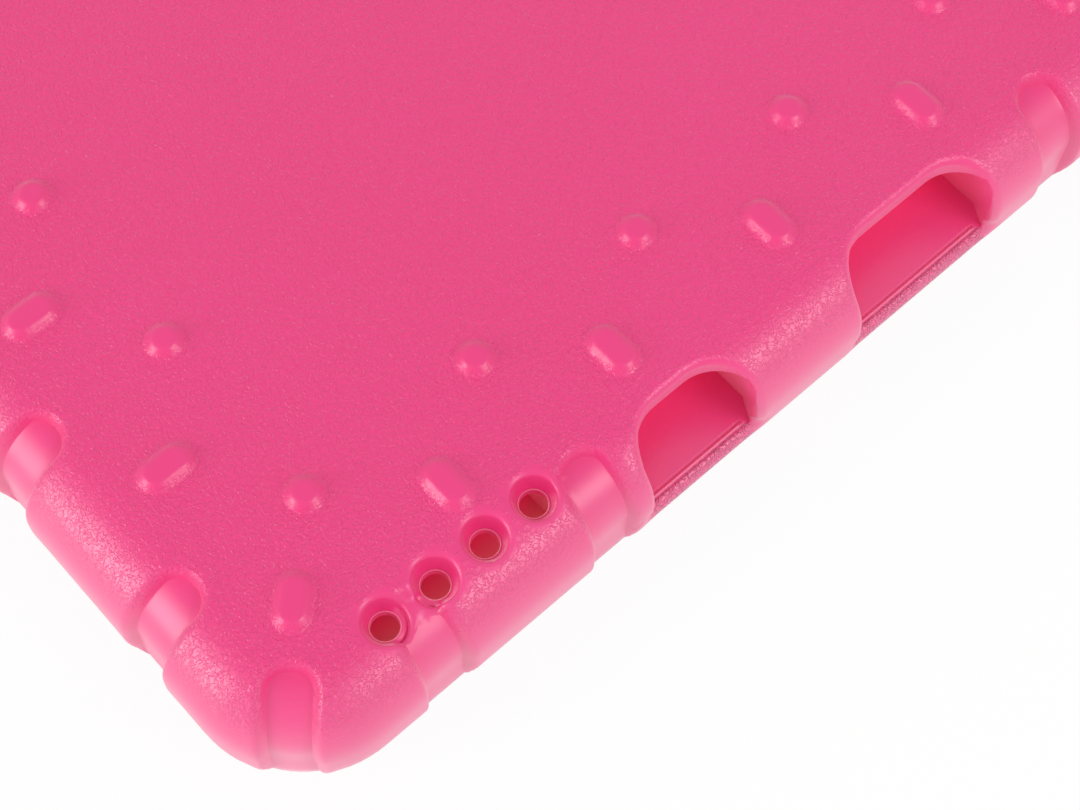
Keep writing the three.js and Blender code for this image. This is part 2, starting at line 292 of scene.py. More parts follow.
def studRise(reach):
    t = np.clip((studForm["rootSoftness"] - reach) / (studForm["rootSoftness"] + studForm["topSoftness"]), 0, 1)
    return studForm["height"] * t * t * (3 - 2 * t)


def studPoints(stud, isOval):
    centre, axis = stud
    across = np.array([axis[1], -axis[0]])
    radius, stretch = studSize(isOval)
    points = [centre + axis * s for s in ((-stretch, 0, stretch) if isOval else (0,))]
    for offset in studForm["offsets"]:
        for side in range(studForm["sides"]):
            angle = 2 * math.pi * (side + 0.5) / studForm["sides"]
            lift = math.sin(angle)
            points.append(centre + across * (radius + offset) * math.cos(angle)
                          + axis * ((radius + offset) * lift + math.copysign(stretch, lift)))
        if isOval:
            for s in (-1, 1):
                for slide in (-0.5, 0.5):
                    points.append(centre + across * (radius + offset) * s + axis * stretch * slide)
    return np.array(points)


# speaker holes and camera hole, seen from above
holeForm = {
    "perGroup": 4,
    "pitch": 6.5,
    "start": 2.6,
    "inset": 7.0,
    "mouth": 4.5,
    "throat": 3.2,
    "coneDepth": 2.15,
    "rim": 0.8,
    "flash": 0.07,  # height of the thin ring that the mould leaves where the cone ends
    # how much painted highlight lies on that ring
    "flashHighlight": 0.5,
    "tubeFoot": 14.5,  # inside the sound channel
    "sides": 34,
    "outerRing": 3.65,  # outermost ring of its own mesh
    "filletAngles": (0, 20, 40, 58, 75),
    "channelTop": 15.0,
    "channelHeight": 6.0,
    "channelMargin": 0.6,
}
cameraForm = {"diameter": 13.0, "bevel": 1.2, "foot": 14.0, "sides": 64}
firstHole = half[0] - patternForm["sideRowInset"] + holeForm["start"]
holes = []
for end in (-1, 1):
    for flank in (-1, 1):
        for k in range(holeForm["perGroup"]):
            across = firstHole - k * holeForm["pitch"]
            holes.append(np.array([flank * across, end * (half[1] - holeForm["inset"])]))
mouthRadius, throatRadius = holeForm["mouth"] / 2, holeForm["throat"] / 2
throatZ = backZ - holeForm["coneDepth"]
beadZ = throatZ + holeForm["flash"]
# A cone's walls stand steep, so its mesh rings are laid out wider than they end up.
# Down the cone: ring, true radius, share of the way from rim to throat
holeRings = ((mouthRadius, mouthRadius, 0.0), (2.2, 2.09, 0.33), (2.1, 1.89, 0.66), (2.0, throatRadius + 0.07, 1.0))
# Over the flash and down the tube: ring, true radius, height
beadRings = ((1.9, throatRadius + 0.03, beadZ), (1.8, throatRadius - 0.05, beadZ),
             (1.7, throatRadius - 0.11, throatZ - 0.02), (1.5, throatRadius - 0.11, holeForm["tubeFoot"]),
             (0.0, 0.0, holeForm["tubeFoot"]))
flashRing = (beadRings[0][0] + beadRings[1][0]) / 2


def ringPoints(centre, radii, sides):
    angles = 2 * math.pi * np.arange(sides) / sides
    circle = np.stack([np.cos(angles), np.sin(angles)], axis=1)
    return np.concatenate([centre + circle * r for r in radii])


def holePoints(centre):
    fillet = [mouthRadius + holeForm["rim"] * (1 - math.sin(math.radians(a))) for a in holeForm["filletAngles"]]
    inner = [ring[0] for ring in holeRings + beadRings[:-1]]
    rings = ringPoints(centre, [holeForm["outerRing"]] + fillet + inner, holeForm["sides"])
    return np.concatenate([rings, centre[None]])


# True radius and height of the points inside a mouth's rim, from the mesh ring that each is on.
def holeSection(ring, skinZ):
    e = np.clip(ring - mouthRadius, 0, None)
    rimZ = skinZ - holeForm["rim"] + np.sqrt(np.maximum(holeForm["rim"] ** 2 - (holeForm["rim"] - e) ** 2, 0))
    coneRing, coneRadius, coneShare = zip(*reversed(holeRings))
    beadRing, beadRadius, beadHeight = zip(*reversed(beadRings))
    radius = np.where(ring > mouthRadius, ring, np.interp(ring, beadRing + coneRing, beadRadius + coneRadius))
    share = np.interp(ring, coneRing, coneShare)
    tubeZ = np.interp(ring, beadRing + coneRing[:1], beadHeight + (throatZ,))
    return radius, np.where(ring < coneRing[0] - 1e-3, tubeZ, rimZ * (1 - share) + throatZ * share)


cameraRadius = cameraForm["diameter"] / 2
bevelRadius = cameraRadius + cameraForm["bevel"]
# radius, depth under the back
cameraRings = ((bevelRadius + 0.5, 0.0), (bevelRadius + 0.15, 0.04), (bevelRadius - 0.15, 0.2),
               (cameraRadius + 0.15, cameraForm["bevel"] - 0.1), (cameraRadius, cameraForm["bevel"] + 0.15),
               (cameraRadius - 0.1, backZ - cameraForm["foot"]))


# notches for the ports
notchForm = {
    "inset": 6.9,
    "innerCorner": 5.4,
    "outerCorner": 1.3,
    "floor": 7.2,
    "rim": 0.9,
    "lipRim": 2.5,  # the lip's edge at the bottom of the notch
    "lipStart": 2.2,  # the one rim turns into the other from here
    "lipTurn": 2.0,
    "ridges": ((79, 3, -0.3), (71, 3, 0.12), (63, 3.5, -0.3)),  # lines the mould leaves along it: angle, spread, height
    "angles": (0, 12, 24, 36, 46, 54, 59, 63, 66, 69, 72, 75, 78, 81, 84, 87, 90),  # mesh lines round the rim
    "calmFrom": 63,  # no grain on the lip's edge beyond this angle
    "calmBy": 50,  # nor on the other edges beyond this one
    "wayInset": 1.2,  # from here in, the walls splay towards the pocket
    "wayInner": 3.9,
    "waySpread": 1.5,  # at the floor, nothing at the top
    "wayTop": 15.5,
    "blind": 2.2,  # the skin goes on this deep inside, where the cutter takes it away
    "hair": 0.02,  # the cutter is this much larger than the rounded rim
    "cutRises": (0, 0.05, 0.15, 0.35, 0.65, 1.05, 1.5, 13),  # its levels over the notch's floor
    "step": 0.65,  # from one mesh point along the rim to the next
    "band": (2.2, 2.2, 3.2),  # its own mesh ends this far beside, above and below it
}
# Where the notch begins and ends over the skin
rimD = roundRadius * math.asin(1 - notchForm["inset"] / roundRadius)
lipDrop = roundRadius - notchForm["floor"] - notchForm["hair"]
lipD = quarterArc + wallHeight + roundRadius * math.asin(lipDrop / roundRadius)


# Outline of the notch on the skin: across, and distance over the skin.
def notchOutline(width):
    w, r, b = width / 2, notchForm["innerCorner"], notchForm["outerCorner"]
    right = [(u, rimD) for u in np.arange(0, w - r - 0.2, notchForm["step"])]
    for angle in np.linspace(0, math.pi / 2, 11):
        inset = notchForm["inset"] - r + r * math.cos(angle)
        right.append((w - r + r * math.sin(angle), roundRadius * math.asin(1 - inset / roundRadius)))
    last = right[-1][1]
    right += [(w, d) for d in np.linspace(last, lipD - b, 12)[1:-1]]
    for angle in np.linspace(0, math.pi / 2, 6):
        right.append((w - b + b * math.cos(angle), lipD - b + b * math.sin(angle)))
    right += [(u, lipD) for u in np.arange(w - b - notchForm["step"], 0.2, -notchForm["step"])]
    left = [(-u, d) for u, d in reversed(right) if u > 0]
    return np.array(right + [(0, lipD)] + left)


# Mesh points in rings round and inside the notch, and for each how far it is pressed in, how far it is raised, and how
# free of grain it is.
def notchPoints(notch):
    outline = notchOutline(notch["width"])
    tangent = np.roll(outline, -1, axis=0) - np.roll(outline, 1, axis=0)
    tangent /= np.hypot(tangent[:, 0], tangent[:, 1])[:, None]
    outwards = np.stack([-tangent[:, 1], tangent[:, 0]], axis=1)
    if ((outline - outline.mean(axis=0)) * outwards).sum() < 0:
        outwards = -outwards
    low = np.clip((outline[:, 1] - lipD + notchForm["lipStart"]) / notchForm["lipTurn"], 0, 1)
    low = low * low * (3 - 2 * low)
    rim = notchForm["rim"] + (notchForm["lipRim"] - notchForm["rim"]) * low
    flat, dent, lift, calm = [outline + outwards * (rim + 0.5)[:, None]], [0 * rim], [0 * rim], [0 * rim]
    for angle in notchForm["angles"]:
        s, c = math.sin(math.radians(angle)), math.cos(math.radians(angle))
        ridge = sum(height * math.exp(-((angle - at) / spread) ** 2) for at, spread, height in notchForm["ridges"])
        flat.append(outline + outwards * (rim * (1 - s))[:, None])
        dent.append(rim * (1 - c) - ridge * c * low)
        lift.append(ridge * s * low)
        calm.append(np.where(angle > notchForm["calmFrom"], 1, (1 - low) * min(angle / notchForm["calmBy"], 1)))
    flat.append(outline - outwards * notchForm["hair"])
    dent.append(rim + notchForm["blind"])
    lift.append(0 * rim)
    calm.append(0 * rim + 1)
    w = notch["width"] / 2
    inner = [(u, d) for u in np.arange(-w + 1.5, w - 1, 2.5) for d in np.arange(rimD + 1.3, lipD - 1, 1.5)
             if abs(u) < w - 1.2 - max(0, 5.5 - d)]  # a few points on the part that is cut away
    flat.append(np.array(inner))
    dent.append(np.full(len(inner), notchForm["rim"] + notchForm["blind"]))
    lift.append(np.zeros(len(inner)))
    calm.append(np.ones(len(inner)))
    flat = np.concatenate(flat)
    edge = notch["edge"]
    origin = onEdge(edge, notch["along"], roundRadius)
    shifts = np.column_stack([np.concatenate(dent), np.concatenate(lift), np.concatenate(calm)])
    return origin + flat[:, :1] * edge["along"] + flat[:, 1:] * edge["out"], shifts


# True where a point belongs to the notch's own mesh.
def notchBand(notch, chart):
    away = chart - onEdge(notch["edge"], notch["along"], roundRadius)
    u, d = np.abs(away @ notch["edge"]["along"]), away @ notch["edge"]["out"]
    beside, above, below = notchForm["band"]
    return (u < notch["width"] / 2 + beside) & (d > rimD - above) & (d < lipD + below)


# Mesh points along the outline of the flat back, moved out by a distance.
def contour(distance, step):
    radius = flatCorner + distance
    points = []
    for turn, (sx, sy) in enumerate(((1, 1), (-1, 1), (-1, -1), (1, -1))):
        centre = np.array([sx, sy]) * core
        if radius > skinForm["sharpCorner"]:
            steps = max(3, int(math.ceil(radius * math.pi / 2 / max(step * 0.8, radius / 12))))
            angles = math.pi / 2 * (turn + np.arange(steps + 1) / steps)
            points.append(centre + radius * np.stack([np.cos(angles), np.sin(angles)], axis=1))
        else:
            centre = centre + np.array([sx, sy]) * min(radius, 0)
            points.append(centre[None])
        length = 2 * core[turn % 2] + 2 * min(radius, 0)
        count = max(2, int(round(length / step)))
        start = points[-1][-1]
        way = np.array(((-1, 0), (0, -1), (1, 0), (0, 1))[turn])
        points.append(start + way * (np.arange(1, count) * length / count)[:, None])
    return np.concatenate(points)


rows = list(np.linspace(0, quarterArc, skinForm["roundRows"])) + [quarterArc + wallHeight / 2]
rows += list(np.linspace(quarterArc + wallHeight, skinEnd, skinForm["frontRows"]))
sheetPoints = [contour(d, skinForm["alongStep"]) for d in rows[:-1]]
sheetPoints += [contour(d, step) for d, step in skinForm["backRings"]]
inner = core + flatCorner - skinForm["gridInset"]
gridX, gridY = np.meshgrid(*[np.arange(-reach, reach + 1, skinForm["gridStep"]) for reach in inner])
sheetPoints.append(np.stack([gridX.ravel(), gridY.ravel()], axis=1))
sheetPoints = np.concatenate(sheetPoints)
rimRing = contour(skinEnd, 3 * skinForm["alongStep"])

# Other mesh points stay this far from a feature that has its own, denser ones.
clearance = {"groove": 4.9, "grooveEnd": 5, "grooveFoot": 0.2, "stud": 1.5, "hole": 4.1, "camera": 0.8}


def keptFrom(points, offGrooves=False, offStuds=False):
    distance = fromFlat(points)[2]
    plan = toPlan(points)
    keep = np.ones(len(points), bool)
    for groove in grooves if offGrooves else ():
        beside = grooveGauge(groove, plan) < clearance["groove"]
        beyond = (plan - groove["origin"]) @ groove["out"] > grooveEnd - clearance["grooveEnd"]
        keep &= ~(beside & beyond & (distance < grooveForm["reach"] + clearance["grooveFoot"]))
    if offStuds:
        for isOval, studs in ((False, roundStuds), (True, ovalStuds)):
            for stud in studs:
                keep &= studReach(stud, isOval, plan) > clearance["stud"]
    top = distance < topEnd
    for hole in holes:
        keep &= ~top | (np.hypot(*(plan - hole).T) > clearance["hole"])
    keep &= ~top | (np.hypot(*(plan - patternForm["camera"]).T) > cameraRings[0][0] + clearance["camera"])
    for notch in notches:
        keep &= ~notchBand(notch, points)
    return points[keep]


chart = [rimRing, keptFrom(sheetPoints, offGrooves=True, offStuds=True)]
print("plain skin:", sum(map(len, chart)), "points")
for groove in grooves:
    chart.append(keptFrom(groovePoints(groove)))
for isOval, studs in ((False, roundStuds), (True, ovalStuds)):
    for stud in studs:
        chart.append(keptFrom(studPoints(stud, isOval), offGrooves=True))
for number, hole in enumerate(holes):
    plan = holePoints(hole)
    neighbours = [h for k, h in enumerate(holes) if k != number and np.hypot(*(h - hole)) < 1.5 * holeForm["pitch"]]
    nearest = np.min([np.hypot(*(plan - h).T) for h in neighbours], axis=0)
    chart.append(toChart(plan[np.hypot(*(plan - hole).T) < nearest - 0.05]))
plan = ringPoints(patternForm["camera"], [r for r, _ in cameraRings], cameraForm["sides"])
chart.append(np.concatenate([plan, patternForm["camera"][None]]))
shifts = [np.zeros((sum(map(len, chart)), 3))]
for notch in notches:
    points, shift = notchPoints(notch)
    chart.append(points)
    shifts.append(shift)
chart, shifts = np.concatenate(chart), np.concatenate(shifts)

print("skin with grooves, studs, holes and notches:", len(chart), "points")
_, _, triangles, origins, _, _ = delaunay_2d_cdt([tuple(p) for p in chart], [], [], 0, 1e-4, True)
kept = np.array([o[0] for o in origins])
chart, shifts = chart[kept], shifts[kept]


# Grain runs over the shoulder and fades out on the smooth wall, at these lengths over the skin from the flat back.
grainForm = {
    "fadeFrom": 6.6,
    "fadeTo": 9.0,
    "onLip": 2.5,  # deeper below the notches, where the lip is squeezed
    "grooveFrom": 2.3,  # it begins this far from a groove's middle line
    "grooveOver": 0.9,
    "studFrom": 0.5,  # and this far inside a stud's outline
    "studOver": 0.8,
    "onStud": 0.15,
}
# Painted sheen: the skin's colour is mixed towards pale over the round, and a little on the cut faces in the pocket
# too.
paintedSheenForm = {"from": 1.5, "to": 11.0, "paintedInsideLight": 0.35}
# A groove or stud changes the skin no further away than its reach. Round a notch the skin is pressed straight down as
# far out as straightTo, and from there on more and more level.
pressForm = {"reach": 6, "straightTo": 4}


# Puts the chart's points in space, pressed in and raised, with the share of grain and of the flash ring's painted
# highlight at each.
def pressedSkin(chart, dents, lifts, calms):
    base, out, distance = fromFlat(chart)
    reach, height, normalOut, normalUp = skinSection(distance)
    plan = base + out * reach[:, None]
    cut = np.zeros(len(chart))
    depth = grooveDepth(distance)
    grain = np.ones(len(chart))
    for groove in grooves:
        gauge = grooveGauge(groove, plan)
        near = gauge < pressForm["reach"]
        cut[near] = np.maximum(cut[near], grooveCut(gauge[near], depth[near]))
        floor = np.clip((gauge - grainForm["grooveFrom"]) / grainForm["grooveOver"], 0, 1)
        grain = np.where((depth > 0.02) & near, np.minimum(grain, floor), grain)
    spot = np.column_stack([plan, height]) - np.column_stack([out * normalOut[:, None], normalUp]) * cut[:, None]
    for isOval, studs in ((False, roundStuds), (True, ovalStuds)):
        for stud in studs:
            near = np.hypot(*(plan - stud[0]).T) < pressForm["reach"]
            reachOut = studReach(stud, isOval, plan[near])
            spot[near, 2] += studRise(reachOut)
            onStud = np.clip((reachOut + grainForm["studFrom"]) / grainForm["studOver"], grainForm["onStud"], 1)
            grain[near] = np.minimum(grain[near], onStud)
    t = np.clip((distance - pressForm["straightTo"]) / (quarterArc - pressForm["straightTo"]), 0, 1)
    tilt = t * t * (3 - 2 * t) * math.pi / 2
    spot -= np.column_stack([out * np.sin(tilt)[:, None], np.cos(tilt)]) * dents[:, None]
    spot[:, 2] += lifts
    grain *= 1 - np.clip((distance - grainForm["fadeFrom"]) / (grainForm["fadeTo"] - grainForm["fadeFrom"]), 0, 1)
    for notch in notches:
        away = chart - onEdge(notch["edge"], notch["along"], roundRadius)
        u, d = np.abs(away @ notch["edge"]["along"]), away @ notch["edge"]["out"]
        grain = np.where((u < notch["width"] / 2) & (d > lipD - 0.5) & (d < lipD + 5), grainForm["onLip"], grain)
    grain *= 1 - calms
    flash = np.zeros(len(chart))
    top = distance < topEnd
    for hole in holes:
        away = plan - hole
        ring = np.hypot(*away.T)
        near = top & (ring < mouthRadius + holeForm["rim"])
        away, ring = away[near], ring[near]
        radius, z = holeSection(ring, spot[near, 2])
        scale = np.where(ring > 1e-6, radius / np.maximum(ring, 1e-6), 0)
        spot[near, :2] = hole + away * scale[:, None]
        spot[near, 2] = z
        grain[near] = 0
        # painted highlight: the thin flash ring where the cone ends is painted pale
        flash[near] = holeForm["flashHighlight"] * np.clip(1 - np.abs(ring - flashRing) / 0.1, 0, 1)
    away = plan - patternForm["camera"]
    ring = np.hypot(*away.T)
    near = top & (ring < cameraRings[0][0] + 0.01)
    away, ring = away[near], ring[near]
    spot[near, 2] = backZ - np.interp(ring, *zip(*sorted(cameraRings)))
    scale = np.where(ring > cameraRadius - 0.2, np.maximum(ring, cameraRadius) / np.maximum(ring, 1e-6), 1)
    spot[near, :2] = patternForm["camera"] + away * scale[:, None]
    grain[near] = 0
    return spot, grain, flash


spots, grainShare, flashHighlightShare = pressedSkin(chart, *shifts.T)
chartDistance = fromFlat(chart)[2]
# painted sheen: the colour turns paler with the distance over the round
paintedSheenShare = np.clip((chartDistance - paintedSheenForm["from"]) / (paintedSheenForm["to"] - paintedSheenForm["from"]), 0, 1)
rimVertices = [k for k, distance in enumerate(chartDistance) if distance > skinEnd - 0.01]
rimVertices.sort(key=lambda k: math.atan2(chart[k][1], chart[k][0]), reverse=True)
mesh = bpy.data.meshes.new("caseBody")
mesh.from_pydata([tuple(s * mm) for s in spots], [], [tuple(t) for t in triangles] + [tuple(rimVertices)])
body = bpy.data.objects.new("caseBody", mesh)
bpy.context.scene.collection.objects.link(body)
print("skin pressed:", len(mesh.vertices), "vertices")


# solids that open the pocket, the window, the notches and the sound channels
pocketForm = {
    "width": 158.0,
    "length": 248.2,
    "radius": 7.3,
    "floor": 7.2,
    "top": 14.4,
    "lip": 5.5,  # the window's edge reaches this far over the tablet
    "splay": 4.5,  # and widens this much towards the front
    "endWall": 10.6,  # from the outline to the pocket
    "sideWall": 10.1,
}


def roundedOutline(width, length, radius, steps=12):
    points = []
    for turn, (sx, sy) in enumerate(((1, 1), (-1, 1), (-1, -1), (1, -1))):
        x, y = sx * (width / 2 - radius), sy * (length / 2 - radius)
        for step in range(steps + 1):
            angle = math.pi / 2 * (turn + step / steps)
            points.append((x + radius * math.cos(angle), y + radius * math.sin(angle)))
    return np.array(points)


pocketOutline = roundedOutline(pocketForm["width"], pocketForm["length"], pocketForm["radius"])


# Closed solid from outlines of one length, each with its height, from the lowest up.
def loft(name, levels):
    count = len(levels[0][0])
    spots = [(x * mm, y * mm, z * mm) for outline, z in levels for x, y in outline]
    faces = [tuple(reversed(range(count))), tuple(range(len(spots) - count, len(spots)))]
    for level in range(len(levels) - 1):
        for k in range(count):
            a, b = level * count + k, level * count + (k + 1) % count
            faces.append((a, b, b + count, a + count))
    solid = bpy.data.meshes.new(name)
    solid.from_pydata(spots, [], faces)
    check = bmesh.new()
    check.from_mesh(solid)
    if check.calc_volume(signed=True) < 0:
        bmesh.ops.reverse_faces(check, faces=check.faces)
    check.to_mesh(solid)
    check.free()
    made = bpy.data.objects.new(name, solid)
    bpy.context.scene.collection.objects.link(made)
    return made


def windowOutline(z):
    reach = pocketForm["lip"] - pocketForm["splay"] * (1 - z / pocketForm["floor"])
    radius = max(pocketForm["radius"] - reach, 0.5) + pocketForm["lip"] / 2
    return roundedOutline(pocketForm["width"] - 2 * reach, pocketForm["length"] - 2 * reach, radius)


# Both halves of a cutter's outline, from the right one: across, and inwards from the edge.
def mirroredPlan(notch, right):
    plan = [onEdge(notch["edge"], notch["along"] + u, inset) for u, inset in right]
    return plan + [onEdge(notch["edge"], notch["along"] - u, inset) for u, inset in reversed(right)]


def notchCutter(notch):
    hair, corner = notchForm["hair"], notchForm["outerCorner"]
    levels = []
    for rise in notchForm["cutRises"]:
        under = max(corner - rise, 0)
        w = notch["width"] / 2 + hair - (corner - math.sqrt(max(corner ** 2 - under ** 2, 0)))
        r = notchForm["innerCorner"] + hair
        right = []
        for angle in np.linspace(0, math.pi / 2, 21):
            right.append((w - r + r * math.sin(angle), notchForm["inset"] + hair - r + r * math.cos(angle)))
        right.append((w, -2))
        levels.append((mirroredPlan(notch, right), notchForm["floor"] + rise))
    return loft("notchCutter", levels)


# The way under the back, from the notch into the pocket.
def wayCutter(notch, wall):
    w, near = notch["width"] / 2, notchForm["wayInset"]
    levels = []
    for z, spread in ((notchForm["floor"], notchForm["waySpread"]), (notchForm["wayTop"], 0.1)):
        right = ((w, near), (w + spread, notchForm["wayInner"]), (w + spread, wall + 0.1))
        levels.append((mirroredPlan(notch, right), z))
    return loft("wayCutter", levels)


cutters = [loft("pocketCutter", [(pocketOutline, z) for z in (pocketForm["floor"], pocketForm["top"])]),
           loft("windowCutter", [(windowOutline(z), z) for z in (-1, pocketForm["floor"] + 1)])]
for notch in notches:
    cutters.append(notchCutter(notch))
    cutters.append(wayCutter(notch, pocketForm["sideWall" if notch["edge"] is flanks[1] else "endWall"]))

# one sound channel behind each group of speaker holes, open to the pocket
holeSpan = (holeForm["perGroup"] - 1) * holeForm["pitch"]
channel = {
    "far": firstHole + throatRadius + holeForm["channelMargin"],
    "near": firstHole - holeSpan - throatRadius - holeForm["channelMargin"],
    "inset": holeForm["inset"] - throatRadius - holeForm["channelMargin"],
    "foot": holeForm["channelTop"] - holeForm["channelHeight"],
    "top": holeForm["channelTop"],
}
for end in (-1, 1):
    for flank in (-1, 1):
        corners = ((channel["far"], channel["inset"]), (channel["far"], pocketForm["endWall"] + 1),
                   (channel["near"], pocketForm["endWall"] + 1), (channel["near"], channel["inset"]))
        plan = [(flank * x, end * (half[1] - y)) for x, y in corners]
        cutters.append(loft("channelCutter", [(plan, channel["foot"]), (plan, channel["top"])]))

for cutter in cutters:
    cut = body.modifiers.new(cutter.name, "BOOLEAN")
    cut.operation, cut.solver, cut.object = "DIFFERENCE", "MANIFOLD", cutter
bpy.context.view_layer.update()
dependencies = bpy.context.evaluated_depsgraph_get()
caseMesh = bpy.data.meshes.new_from_object(body.evaluated_get(dependencies))
caseMesh.name = "tabletCase"
for cutter in cutters:
    bpy.data.objects.remove(cutter)
bpy.data.objects.remove(body)
work = bmesh.new()
work.from_mesh(caseMesh)
bmesh.ops.remove_doubles(work, verts=work.verts, dist=0.004 * mm)
bmesh.ops.dissolve_degenerate(work, dist=0.001 * mm, edges=work.edges)
bmesh.ops.triangulate(work, faces=work.faces)
openEdges = [e for e in work.edges if len(e.link_faces) != 2]
volume = round(work.calc_volume() * 1e6, 1)
print("case:", len(work.faces), "triangles,", len(openEdges), "open edges,", volume, "cubic cm")
work.to_mesh(caseMesh)
work.free()
tabletCase = bpy.data.objects.new("tabletCase", caseMesh)
bpy.context.scene.collection.objects.link(tabletCase)

# Shares at each vertex of grain, of the thin ring that the mould left with its painted highlight, of painted light in
# the sound channels and of painted sheen. On the outside they come from the nearest pressed point.
touch = 0.1
tree = KDTree(len(spots))
for k, spot in enumerate(spots):
    tree.insert(spot, k)
tree.balance()
shares = {name: np.zeros(len(caseMesh.vertices), np.float32)
          for name in ("grainShare", "flashHighlightShare", "paintedChannelLightShare", "paintedSheenShare")}
for k, vertex in enumerate(caseMesh.vertices):
    x, y, z = vertex.co / mm
    alongChannel = channel["near"] - touch < abs(x) < channel["far"] + touch
    acrossChannel = half[1] - pocketForm["endWall"] < abs(y) < half[1] - channel["inset"] + touch
    inChannel = alongChannel and acrossChannel
    # painted light: the sound channels get their own pale colour
    shares["paintedChannelLightShare"][k] = inChannel and channel["foot"] - touch < z < channel["top"] - touch
    _, nearest, away = tree.find(vertex.co / mm)
    if away < touch / 2:
        shares["grainShare"][k] = grainShare[nearest]
        shares["flashHighlightShare"][k] = flashHighlightShare[nearest]
        shares["paintedSheenShare"][k] = paintedSheenShare[nearest]
    # painted sheen: the faces cut inside the pocket and notches are a little paler
    elif not inChannel:
        shares["paintedSheenShare"][k] = paintedSheenForm["paintedInsideLight"]
for name, values in shares.items():
    attribute = caseMesh.attributes.new(name, "FLOAT", "POINT")
    attribute.data.foreach_set("value", values)
caseMesh.shade_smooth()
caseMesh.set_sharp_from_angle(angle=math.radians(38))
print("grain laid out")


# sRGB hex to the linear colour that Blender's sockets take
def linear(hexColour):
    parts = [int(hexColour[k:k + 2], 16) / 255 for k in (1, 3, 5)]
    return tuple(p / 12.92 if p <= 0.04045 else ((p + 0.055) / 1.055) ** 2.4 for p in parts) + (1.0,)


def addNode(tree, kind, settings=None, links=None, **attributes):
    node = tree.nodes.new(kind)
    for name, value in attributes.items():
        setattr(node, name, value)
    for socket, value in (settings or {}).items():
        node.inputs[socket].default_value = value
    for socket, source in (links or {}).items():
        tree.links.new(source, node.inputs[socket])
    return node


# EVA foam, moulded under heat in a grained tool. That gives the eye a closed matt skin with fine leather-like wrinkles,
# satin where the tool was smooth, and a soft pale bloom wherever the skin turns away, partly its sheen, partly painted
# sheen.
foamFinish = {
    "skin": "#ec2c7e",
    "skinDeep": "#e92678",
    # pale colour painted over the round as sheen
    "paintedSheenColour": "#f6a9c8",
    # painted sheen: its greatest share
    "paintedSheenShare": 0.22,  # at most, low on the round
    # painted highlight on the flash ring in the holes
    "flash": "#f7c9c4",
    # painted light: pale colour in the sound channels, for the light that comes up into them through the pocket
    "paintedInsideLight": "#fed2c2",  # in the sound channels, where the foam has no skin
    "roughness": 0.32,  # of one wrinkle; together they look duller
    "smoothRoughness": 0.37,  # in the grooves and on the studs, which have no wrinkles
    "ior": 1.49,
    "specular": 0.8,
    "sheen": 0.35,
    "sheenTint": "#fff0f4",
    "sheenRoughness": 0.45,
    "cloud": 30,  # mm, the foam's own slight unevenness of colour
    "worm": 0.4,  # mm, real width of one worm-like wrinkle and the crease beside it
    "wormHeight": 0.06,  # mm
    "wormEdge": 0.1,  # how gently a wrinkle rises, 0 to 0.5
    "fine": 0.22,  # mm, a finer roughness over the wrinkles
    "fineHeight": 0.012,
    "wave": 5.0,  # mm, slow unevenness of the pressed skin
    "waveHeight": 0.03,
}


# Noise scale for marks of a width in mm
def perWidth(key):
    return 1 / (foamFinish[key] * mm)


